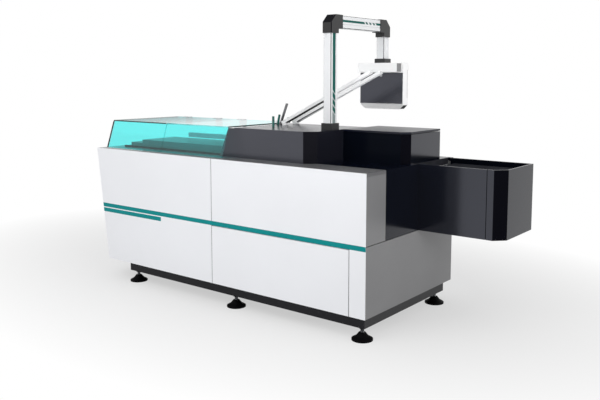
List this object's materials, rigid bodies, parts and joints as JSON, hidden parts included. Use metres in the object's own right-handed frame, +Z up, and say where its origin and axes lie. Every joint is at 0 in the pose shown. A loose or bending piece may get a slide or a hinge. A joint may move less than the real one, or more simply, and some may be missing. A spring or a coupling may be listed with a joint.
{
  "type": "automatic cartoner",
  "caption": "Automatic cartoning machine: panelled cabinet on levelling feet with a hinged glass guard, drive housings, infeed trough, carton magazine and a control panel on a gallows arm.",
  "frame": {"origin": "middle of the machine's box at floor level, under its levelling feet", "axes": "+X along the machine towards the infeed trough, +Y from the front panels to the rear, +Z up"},
  "size_m": [2.85, 1.0574, 1.815],
  "materials": {
    "white_paint": "smooth satin powder coat",
    "teal_paint": "satin paint",
    "slate_paint": "satin paint",
    "black_gloss": "glossy paint",
    "grey_paint": "satin metallic paint",
    "deck_steel": "fine brushed",
    "dark_frame": "matt paint",
    "foot_black": "moulded, matt",
    "belt_rubber": "fine fabric face",
    "guard_glass": "clear tinted",
    "clear_glass": "clear",
    "steel": "fine brushed",
    "white_aluminium": "white anodised",
    "joint_plastic": "fine grain",
    "green_pin": "gloss paint",
    "screen": "glass-like"
  },
  "bodies": {
    "base": {"plinth": "dark_frame", "feet_front": "foot_black", "feet_rear": "foot_black", "bottom_plate": "dark_frame", "front_panel_left": "white_paint", "front_panel_right": "white_paint", "front_door": "white_paint", "front_stripe_long": "teal_paint", "front_stripe_short": "teal_paint", "left_end_panel": "white_paint", "rear_panels": "white_paint", "end_panel_lower": "grey_paint", "end_columns": "grey_paint", "end_panel_dark": "black_gloss", "deck_strip": "deck_steel", "deck_plate": "black_gloss", "main_housing": "slate_paint", "guard_end_plate": "slate_paint", "rear_housing": "black_gloss", "rear_housing_lid": "slate_paint", "infeed_front_wall": "black_gloss", "infeed_corner_cap": "black_gloss", "infeed_rear_wall": "black_gloss", "infeed_bed": "dark_frame", "infeed_belt": "belt_rubber", "track_bed": "dark_frame", "track_slab": "dark_frame", "pusher_bar": "steel", "guard_rear_pane": "clear_glass", "guard_hinge_feet": "steel", "magazine_rail_near": "white_aluminium", "magazine_rail_far": "white_aluminium", "magazine_seat": "slate_paint", "guide_pins": "green_pin", "carton_levers": "steel", "arm_base": "joint_plastic", "arm_post": "white_aluminium", "arm_elbow_near": "joint_plastic", "arm_beam": "white_aluminium", "arm_elbow_far": "joint_plastic", "arm_drop_post": "white_aluminium", "arm_flange": "joint_plastic"},
    "guard_left": {"guard_left_front": "guard_glass", "guard_left_top": "guard_glass", "guard_left_end": "clear_glass", "guard_left_hinges": "steel"},
    "guard_right": {"guard_right_front": "guard_glass", "guard_right_top": "guard_glass", "guard_right_hinges": "steel"},
    "control_panel": {"panel_head": "white_paint", "panel_back_cover": "slate_paint", "panel_case": "white_paint", "panel_screen": "screen"}
  },
  "joints": [
    {"name": "guard_left_lift", "type": "hinge", "parent": "base", "child": "guard_left", "pos_m": [-1.06, 0.20905, 1.126], "axis": [-1, 0, 0], "range_deg": [0, 80]},
    {"name": "guard_right_lift", "type": "hinge", "parent": "base", "child": "guard_right", "pos_m": [-0.5, 0.20905, 1.126], "axis": [-1, 0, 0], "range_deg": [0, 80]},
    {"name": "panel_swivel", "type": "hinge", "parent": "base", "child": "control_panel", "pos_m": [0.378, 0.47125, 1.54], "axis": [0, 0, 1], "range_deg": [-90, 90]}
  ]
}
